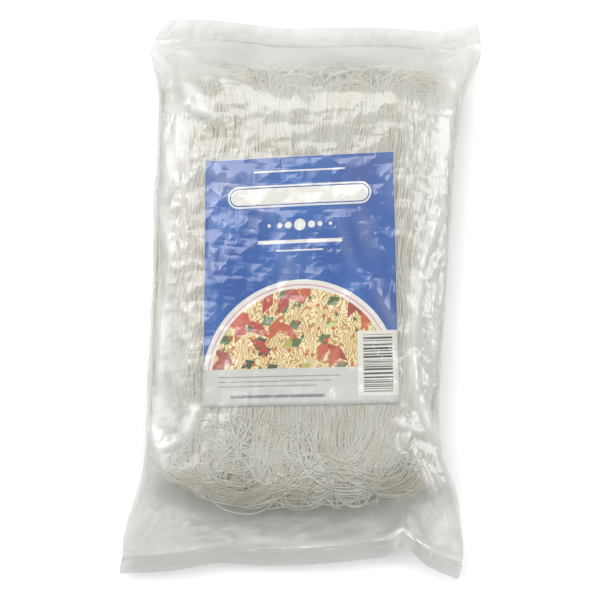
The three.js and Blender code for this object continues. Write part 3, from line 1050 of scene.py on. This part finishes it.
# Sideways drift of the strands. What neighbours share is waves of (height, length, shift from
# the bundle's left to its right), and bunches that close up and part. The rest is a strand's own.
SHARED_DRIFT = [(2.4 * MM, 97 * MM, 1.7), (1.1 * MM, 43 * MM, -3.1)]
BUNCHES = 14
BUNCH_DRIFT = 1.0 * MM
BUNCH_WANDER = 0.35
BUNCH_WANDER_LENGTH = 38 * MM
OWN_LENGTHS_MM = (26, 70)
OWN_DRIFTS_MM = (0.3, 1.3)
OWN_LEAN = 0.03

# A long strand and the bend at each of its ends
RUN_STEP = 9 * MM
BOTTOM_SCATTER_MM = (2, 20)
TOP_SCATTER_MM = (-2, 9)
DEPTH_WAVE = 0.6 * MM
DEPTH_WAVE_LENGTH = 60 * MM
BEND_STEPS = 7
BEND_RADII_MM = (2.0, 8.0)
BEND_DIVES = (0.8, 2.0)  # how far it dives, as a share of its width
BACK_LEG_STEPS = 3
BACK_LEGS_MM = (8, 26)
BACK_LEG_SLOPE = 0.08


def bundle_x(share, y):
    """The plan x at a share of the bundle's width, from 0 at its left to 1 at its right."""
    left, right = side_edges(y)
    rounded = LOW_INSET * smoothstep(ROUNDED_FROM, ROUNDED_FULL, y)
    low, high = SIDE_MARGINS[0] + rounded, 1 - SIDE_MARGINS[1] - rounded
    return lerp(left, right, lerp(low, high, share))


def bundle_ends(share):
    """Where the bundle's bottom and top end at a share of its width."""
    off_centre = 2 * share - 1
    rise = np.where(off_centre < 0, *BOTTOM_CORNERS) * np.abs(off_centre) ** 3
    drop = np.where(off_centre < 0, *TOP_CORNERS) * off_centre ** 4
    return BUNDLE_BOTTOM + rise, BUNDLE_TOP - drop


def sway(share, y, random):
    """Sideways drift of a strand: combed together with its neighbours, with its own part."""
    bunch = BUNCHES * share + BUNCH_WANDER * np.sin(y / BUNCH_WANDER_LENGTH)
    shared = BUNCH_DRIFT * np.sin(2 * math.pi * bunch)
    for height, length, shift in SHARED_DRIFT:
        shared = shared + height * wave(y, length, shift * share)
    length = random.uniform(*OWN_LENGTHS_MM) * MM
    own = random.uniform(*OWN_DRIFTS_MM) * MM * wave(y, length, random.uniform())
    lean = random.normal(0, OWN_LEAN) * y
    return shared + own + lean


def end_bend(x, y, depth, onward, random):
    """A strand's end: on, round a half circle and back under itself."""
    radius = random.uniform(*BEND_RADII_MM) * MM
    sideways = random.choice([-1, 1])
    dive = random.uniform(*BEND_DIVES)
    turn = np.linspace(0, math.pi, BEND_STEPS)[1:]
    back = np.linspace(0, 1, BACK_LEG_STEPS)[1:] * random.uniform(*BACK_LEGS_MM) * MM
    x_bend = x + sideways * radius * (1 - np.cos(turn))
    y_bend = y + onward * radius * np.sin(turn)
    depth_bend = depth + dive * radius * (1 - np.cos(turn))
    x_back = np.full(BACK_LEG_STEPS - 1, x_bend[-1])
    depth_back = depth_bend[-1] + BACK_LEG_SLOPE * back
    return (np.concatenate([x_bend, x_back]), np.concatenate([y_bend, y - onward * back]),
            np.concatenate([depth_bend, depth_back]))


def long_strand(share, depth, random):
    """A strand along the whole bundle, bent back at both ends."""
    bottom, top = bundle_ends(share)
    bottom = bottom + random.uniform(*BOTTOM_SCATTER_MM) * MM
    top = top - random.uniform(*TOP_SCATTER_MM) * MM
    y = np.linspace(bottom, top, int((top - bottom) / RUN_STEP))
    x = bundle_x(share, y) + sway(share, y, random)
    below = depth + DEPTH_WAVE * wave(y, DEPTH_WAVE_LENGTH, random.uniform())
    below = below + SWIRL_THICKNESS * smoothstep(SWIRLS_FROM, SWIRLS_FULL, y)
    x_low, y_low, depth_low = end_bend(x[0], y[0], below[0], -1, random)
    x_high, y_high, depth_high = end_bend(x[-1], y[-1], below[-1], 1, random)
    return np.stack([
        np.concatenate([x_low[::-1], x, x_high]),
        np.concatenate([y_low[::-1], y, y_high]),
        np.concatenate([depth_low[::-1], below, depth_high]),
    ], axis=1)


LOOP_STEP = math.radians(16)
LOOP_STEP_LENGTHS = (1.0 * MM, 3.0 * MM)  # the shortest and the longest
LEG_STRAIGHTENED = 0.6  # how far a leg comes round to upright, as a share
LEG_WAVER = 0.08
LEG_WAVER_LENGTH = 8 * MM
LEG_DIVE = 3.0 * MM


def loop_strand(radius, right_turn, left_turn, right_leg, left_leg, depth, random):
    """A strand bent in a U about its lowest point, with two legs that straighten upwards.

    The turns are how far each side swings round, in degrees, before its leg begins.
    """
    sides = []
    for direction, turn, leg in ((1, right_turn, right_leg), (-1, left_turn, left_leg)):
        bend_length = radius * math.radians(turn)
        step = float(np.clip(radius * LOOP_STEP, *LOOP_STEP_LENGTHS))
        count = int((bend_length + leg) / step) + 2
        travelled = np.arange(count) * step
        heading = np.minimum(travelled / radius, math.radians(turn))
        in_leg = np.clip((travelled - bend_length) / leg, 0, 1)
        heading = heading + (math.radians(90) - heading) * LEG_STRAIGHTENED * in_leg
        waver = LEG_WAVER * np.sin(travelled / LEG_WAVER_LENGTH + random.uniform(0, 6))
        heading = heading + waver * in_leg
        x = np.concatenate([[0], np.cumsum(np.cos(heading) * step)])[:-1] * direction
        y = np.concatenate([[0], np.cumsum(np.sin(heading) * step)])[:-1]
        sides.append(np.stack([x, y, depth + LEG_DIVE * in_leg ** 2], axis=1))
    return np.concatenate([sides[1][:0:-1], sides[0]])


# Swirls that show at the bundle's ends. Each has its centre and its range of radii in
# millimetres, its turns to the right and left in degrees, the lengths of its two legs, how far
# the whole is turned in degrees, and its count. Turned past 90 degrees, it opens downwards.
SWIRLS = [
    ((23, -74), (4, 29), (56, 90), (42, 30), 0, 95),
    ((49, -87), (2.5, 15), (70, 108), (34, 30), 0, 60),
    ((-33, -80), (5, 24), (84, 84), (30, 26), -8, 55),
    ((-4, -84), (6, 22), (60, 80), (36, 30), -24, 50),
    ((-56, -80), (3, 15), (88, 80), (30, 28), -12, 34),
    ((59, -78), (3, 9), (90, 80), (34, 24), 6, 16),
    ((40, -72), (8, 24), (64, 84), (34, 26), -18, 36),
    ((-4, 104), (4, 15), (80, 92), (34, 40), 180, 22),
    ((26, 100), (3, 14), (92, 70), (32, 42), 188, 20),
    ((63, 101), (4, 15), (84, 96), (40, 40), 174, 24),
    ((-34, 106), (3, 11), (90, 84), (36, 36), 180, 16),
    ((-58, 98), (3, 9), (92, 88), (30, 36), 184, 12),
]
# The few wide loops that hang out below the rest, in the same terms
HANGING_LOOPS = [
    ((-28, -92), (7, 19), (74, 84), (32, 26), -10, 13),
    ((-46, -88), (6, 14), (84, 74), (28, 26), -16, 9),
    ((2, -92), (8, 20), (66, 84), (34, 28), 6, 10),
    ((30, -92), (7, 15), (70, 90), (34, 28), 4, 6),
    ((55, -90), (5, 12), (84, 84), (30, 26), 12, 5),
]


# How much the strands of a swirl differ from each other
SWIRL_TURN_SPREAD = 5  # degrees
SIDE_TURN_SPREAD = 6  # degrees
LEG_LENGTHS = (0.7, 1.3)
SWIRL_DEPTH = 2.2 * MM
SWIRL_SHIFT = 1.8 * MM
SWIRL_DROPS = (0.92, 1.08)  # from the centre to a strand's lowest point, as shares of its radius


def swirl_strands(swirls, random):
    """Looped strands about the centres of a list of swirls."""
    strands = []
    for centre, radii, turns, legs, turned, count in swirls:
        for _ in range(count):
            angle = math.radians(turned + random.normal(0, SWIRL_TURN_SPREAD))
            radius = random.uniform(*radii) * MM
            right_turn, left_turn = (turn + random.normal(0, SIDE_TURN_SPREAD) for turn in turns)
            right_leg, left_leg = (leg * random.uniform(*LEG_LENGTHS) * MM for leg in legs)
            depth = random.uniform(0, SWIRL_DEPTH)
            path = loop_strand(radius, right_turn, left_turn, right_leg, left_leg, depth, random)
            offset_x = random.normal(0, SWIRL_SHIFT)
            offset_y = -radius * random.uniform(*SWIRL_DROPS)
            x, y = path[:, 0] + offset_x, path[:, 1] + offset_y
            path[:, 0] = centre[0] * MM + x * math.cos(angle) - y * math.sin(angle)
            path[:, 1] = centre[1] * MM + x * math.sin(angle) + y * math.cos(angle)
            strands.append(path)
    return strands


STRAY_COUNT = 290
STRAYS_IN_A_ROUND = 5  # two of them lie higher up, and the others at the bottom
HIGH_STRAYS_IN_A_ROUND = 2
# Where strays begin and how they curl, as (range across, range along, radius) in millimetres
LOW_STRAYS = ((-62, 26), (-106, -66), 19)
HIGH_STRAYS = ((-60, 66), (-60, 100), 60)
HIGH_STRAY_SPREAD = 20  # degrees that their headings stray from the length of the bag
STRAY_STEPS = (20, 42)
STRAY_STRIDE = 1.8 * MM
STRAY_DEPTH = 0.9 * MM
STRAY_REACH = 9 * MM  # how far past the bundle's ends they may go
SHORTEST_STRAY = 7  # points


def stray_strands(random):
    """Loose strands that wander over the others, most of them at the bottom."""
    strands = []
    for number in range(STRAY_COUNT):
        low = number % STRAYS_IN_A_ROUND >= HIGH_STRAYS_IN_A_ROUND
        across, along, curl_radius = LOW_STRAYS if low else HIGH_STRAYS
        x, y = random.uniform(*across) * MM, random.uniform(*along) * MM
        if low:
            heading = random.uniform(0, 2 * math.pi)
        else:
            heading = math.radians(90 + random.normal(0, HIGH_STRAY_SPREAD))
        curl = random.normal(0, 1) / (curl_radius * MM)
        steps = int(random.uniform(*STRAY_STEPS))
        uneven = 1 + 0.8 * np.sin(np.arange(steps) / 5 + random.uniform(0, 6))
        headings = heading + np.cumsum(curl * STRAY_STRIDE * uneven)
        path = np.stack([
            x + np.cumsum(np.cos(headings)) * STRAY_STRIDE,
            y + np.cumsum(np.sin(headings)) * STRAY_STRIDE,
            np.full(steps, random.uniform(0, STRAY_DEPTH)),
        ], axis=1)
        left, right = side_edges(path[:, 1])
        share = np.clip((path[:, 0] - left) / (right - left), 0, 1)
        bottom, top = bundle_ends(share)
        outside = (path[:, 1] < bottom - STRAY_REACH) | (path[:, 1] > top + STRAY_REACH)
        if outside.any():
            path = path[:np.argmax(outside)]
        if len(path) >= SHORTEST_STRAY:
            strands.append(path)
    return strands


STRAND_CLEARANCE = 0.1 * MM


def kept_inside(x, y):
    """x, held clear of the bag's sides."""
    left, right = side_edges(y)
    margin = EDGE_MARGIN * (right - left)
    return np.clip(x, left + margin, right - margin)


def laid(path, side):
    """A strand's points in space: a path's depth is under the front skin, or over the back."""
    x, y, depth = path.T
    x = kept_inside(x, y)
    front, back = bundle_heights(x, y)
    middle = (front + back) / 2
    below = np.maximum(depth, 0) + STRAND_RADIUS + STRAND_CLEARANCE
    if side == "front":
        z = np.maximum(front - below, middle)
    else:
        z = np.minimum(back + below, middle)
    return np.stack([x, y, z], axis=1)


SIDE_POINTS = 34
SIDE_BOTTOM_SCATTER_MM = (0, 14)
SIDE_TOP_SCATTER_MM = (0, 9)
SIDE_SWAY = 0.35
SIDE_INSET = 1 * MM
SIDE_DRIFT = 0.12
SIDE_DRIFT_LENGTH = 70 * MM


def side_strand(share, lift, random):
    """A strand down the side wall of the bundle, at a lift from -1, back, to 1, front."""
    bottom, top = bundle_ends(share)
    low = bottom + random.uniform(*SIDE_BOTTOM_SCATTER_MM) * MM
    high = top - random.uniform(*SIDE_TOP_SCATTER_MM) * MM
    y = np.linspace(low, high, SIDE_POINTS)
    x = kept_inside(bundle_x(share, y) + SIDE_SWAY * sway(share, y, random), y)
    front, back = bundle_heights(x, y)
    reach = np.maximum((front - back) / 2 - SIDE_INSET, 0)
    drift = SIDE_DRIFT * wave(y, SIDE_DRIFT_LENGTH, random.uniform())
    z = (front + back) / 2 + np.clip(lift + drift, -1, 1) * reach
    return np.stack([x, y, z], axis=1)


def strand_tree():
    """Geometry nodes that turn polylines into round strands."""
    tree = bpy.data.node_groups.new("round_strands", "GeometryNodeTree")
    tree.interface.new_socket("Paths", in_out="INPUT", socket_type="NodeSocketGeometry")
    tree.interface.new_socket("Strand Radius", in_out="INPUT", socket_type="NodeSocketFloat")
    tree.interface.new_socket("Sides", in_out="INPUT", socket_type="NodeSocketInt")
    tree.interface.new_socket("Finish", in_out="INPUT", socket_type="NodeSocketMaterial")
    tree.interface.new_socket("Strands", in_out="OUTPUT", socket_type="NodeSocketGeometry")
    given = add_node(tree, "NodeGroupInput").outputs
    paths = add_node(tree, "GeometryNodeMeshToCurve", None, {"Mesh": given["Paths"]})
    ring = add_node(tree, "GeometryNodeCurvePrimitiveCircle", {"mode": "RADIUS"},
                    {"Resolution": given["Sides"], "Radius": given["Strand Radius"]})
    tubes = add_node(tree, "GeometryNodeCurveToMesh", None,
                     {"Curve": paths.outputs[0], "Profile Curve": ring.outputs[0],
                      "Fill Caps": True})
    plain = add_node(tree, "GeometryNodeRealizeInstances", None, {0: tubes.outputs[0]})
    smooth = add_node(tree, "GeometryNodeSetShadeSmooth", None, {0: plain.outputs[0]})
    done = add_node(tree, "GeometryNodeSetMaterial", None,
                    {"Geometry": smooth.outputs[0], "Material": given["Finish"]})
    add_node(tree, "NodeGroupOutput", None, {"Strands": done.outputs[0]})
    return tree


STRAND_SIDES = 5


def make_strands(name, strands, tree, material, random):
    """One mesh piece of round strands from a list of point arrays."""
    edges, tones, start = [], [], 0
    for strand in strands:
        edges += [(start + i, start + i + 1) for i in range(len(strand) - 1)]
        tones += [random.uniform()] * len(strand)
        start += len(strand)
    mesh = bpy.data.meshes.new(name)
    mesh.from_pydata(np.concatenate(strands).tolist(), edges, [])
    store(mesh, "tone", tones)
    piece = bpy.data.objects.new(name, mesh)
    bpy.context.scene.collection.objects.link(piece)
    rounding = piece.modifiers.new("rounding", "NODES")
    rounding.node_group = tree
    chosen = {"Strand Radius": STRAND_RADIUS, "Sides": STRAND_SIDES, "Finish": material}
    for socket in tree.interface.items_tree:
        if socket.name in chosen:
            rounding[socket.identifier] = chosen[socket.name]
    return freeze(piece)


CORE_COLUMNS = 120
CORE_ROWS = 50
CORE_SHARES = (0.02, 0.98)
CORE_FROM_BOTTOM = 13 * MM
CORE_FROM_TOP = 7 * MM
CORE_INSET = 2.4 * MM
CORE_RIDGE_HEIGHT = 0.5 * MM
CORE_RIDGE_PITCH = 3.4 * MM
CORE_RIDGE_WANDER = 0.4
CORE_RIDGE_WANDER_LENGTH = 21 * MM
CORE_LEAST_THICKNESS = 1 * MM


def make_core(material):
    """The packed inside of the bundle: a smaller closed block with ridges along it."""
    share, along = np.meshgrid(np.linspace(*CORE_SHARES, CORE_COLUMNS + 1),
                               np.linspace(0, 1, CORE_ROWS + 1))
    bottom, top = bundle_ends(share)
    y = lerp(bottom + CORE_FROM_BOTTOM, top - CORE_FROM_TOP, along)
    x = bundle_x(share, y)
    front, back = bundle_heights(x, y)
    wander = CORE_RIDGE_WANDER * np.sin(y / CORE_RIDGE_WANDER_LENGTH)
    ridge = CORE_RIDGE_HEIGHT * wave(x, CORE_RIDGE_PITCH, wander)
    inset = CORE_INSET + SWIRL_THICKNESS * smoothstep(SWIRLS_FROM, SWIRLS_FULL, y)
    middle = (front + back) / 2
    front = np.maximum(front - inset + ridge, middle + CORE_LEAST_THICKNESS / 2)
    back = np.minimum(back + CORE_INSET - ridge, middle - CORE_LEAST_THICKNESS / 2)
    core = closed_block("noodle_core", x, y, front, back, material)
    shade_smooth(core.data)
    return core


MEAN_DEPTH_MM = 1.1
DEEPEST_MM = 3.2
FRONT_LAYER_COUNT = 400
FRONT_LAYER_DEPTH = 0.5 * MM
BACK_COUNT = 340
SIDE_COUNT = 170
SIDE_SHARES = (-0.025, 0.05)  # shares of the bundle's width, from its left or right side in
NOODLE_SEED = 5


def depth_draw(random):
    """Most strands lie near the skin, and fewer deeper in."""
    return min(random.exponential(MEAN_DEPTH_MM), DEEPEST_MM) * MM


def make_noodles(material, dark_material):
    """All the noodles, in pieces by where they lie in the bundle."""
    random = np.random.default_rng(NOODLE_SEED)
    tree = strand_tree()
    upper, middle, lower, back, sides = [], [], [], [], []
    for layer, group in enumerate((upper, middle, lower)):
        for _ in range(FRONT_LAYER_COUNT):
            depth = depth_draw(random) + layer * FRONT_LAYER_DEPTH
            path = long_strand(random.uniform(0.0, 1.0), depth, random)
            group.append(laid(path, "front"))
    for _ in range(BACK_COUNT):
        path = long_strand(random.uniform(0.0, 1.0), depth_draw(random), random)
        back.append(laid(path, "back"))
    for number in range(SIDE_COUNT):
        share = random.uniform(*SIDE_SHARES)
        share = share if number % 2 else 1 - share
        sides.append(side_strand(share, random.uniform(-1, 1), random))
    swirls = [laid(path, "front") for path in swirl_strands(SWIRLS, random)]
    loose = swirl_strands(HANGING_LOOPS, random) + stray_strands(random)
    strays = [laid(path, "front") for path in loose]
    pieces = [make_core(dark_material)]
    for name, strands in (("noodles_front_upper", upper), ("noodles_front_middle", middle),
                          ("noodles_front_lower", lower), ("noodles_back", back),
                          ("noodles_sides", sides), ("noodles_swirls", swirls),
                          ("noodles_strays", strays)):
        pieces.append(make_strands(name, strands, tree, material, random))
    bpy.data.node_groups.remove(tree)
    return pieces


# Stage: floor, lights and camera

CAMERA_HEIGHT = 1.12
PHOTO_WIDTH = 0.312  # width of the photographed field at the pack's middle height
MIDDLE_HEIGHT = 0.020
SENSOR_WIDTH = 36.0
FLOOR_REACH = 3.0
FILL_STRENGTH = 0.22
# (name, place, size, watts). The wide ones light the pack, and the strips make its glints.
SOFTBOXES = [
    ("overhead_softbox", (-0.35, 0.5, 1.45), (1.4, 1.0), 6.6),
    ("key_softbox", (-0.2, 0.55, 1.0), (1.2, 0.8), 10.5),
    ("left_softbox", (-0.85, 0.05, 0.75), (0.35, 0.8), 2.4),
    ("right_softbox", (0.85, 0.05, 0.7), (0.35, 0.8), 4.8),
    ("left_strip", (-0.5, 0.25, 0.95), (0.06, 0.5), 0.6),
    ("right_strip", (0.48, 0.3, 0.95), (0.06, 0.5), 0.6),
    ("low_strip", (0.12, -0.6, 0.85), (0.5, 0.06), 0.4),
]


def make_floor(material):
    floor = flat_square("floor", FLOOR_REACH, material)


def add_softbox(name, place, size, watts):
    """A rectangular area light that faces the middle of the pack."""
    lamp = bpy.data.lights.new(name, "AREA")
    lamp.shape = "RECTANGLE"
    lamp.size, lamp.size_y = size
    lamp.energy = watts
    softbox = bpy.data.objects.new(name, lamp)
    bpy.context.scene.collection.objects.link(softbox)
    softbox.location = place
    aim = Vector((0, 0, MIDDLE_HEIGHT)) - Vector(place)
    softbox.rotation_euler = aim.to_track_quat("-Z", "Y").to_euler()


def make_studio():
    for name, place, size, watts in SOFTBOXES:
        add_softbox(name, place, size, watts)
    world = bpy.data.worlds.new("studio_fill")
    world.use_nodes = True
    background = world.node_tree.nodes["Background"]
    background.inputs["Color"].default_value = (1, 1, 1, 1)
    background.inputs["Strength"].default_value = FILL_STRENGTH
    bpy.context.scene.world = world


def make_camera():
    camera = bpy.data.cameras.new("camera")
    camera.sensor_width = SENSOR_WIDTH
    camera.lens = SENSOR_WIDTH * (CAMERA_HEIGHT - MIDDLE_HEIGHT) / PHOTO_WIDTH
    holder = bpy.data.objects.new("camera", camera)
    bpy.context.scene.collection.objects.link(holder)
    holder.location = (0, 0, CAMERA_HEIGHT)
    bpy.context.scene.camera = holder


make_camera()
make_studio()
make_floor(floor_material())

film = make_film(film_material())
label = make_label(label_material())
noodles = make_noodles(noodle_material(), core_material())

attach(film, "root")
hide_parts("bag")
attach(label, "root")
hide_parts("label")
for piece in noodles:
    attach(piece, "root")

bpy.context.scene.view_settings.view_transform = "Standard"
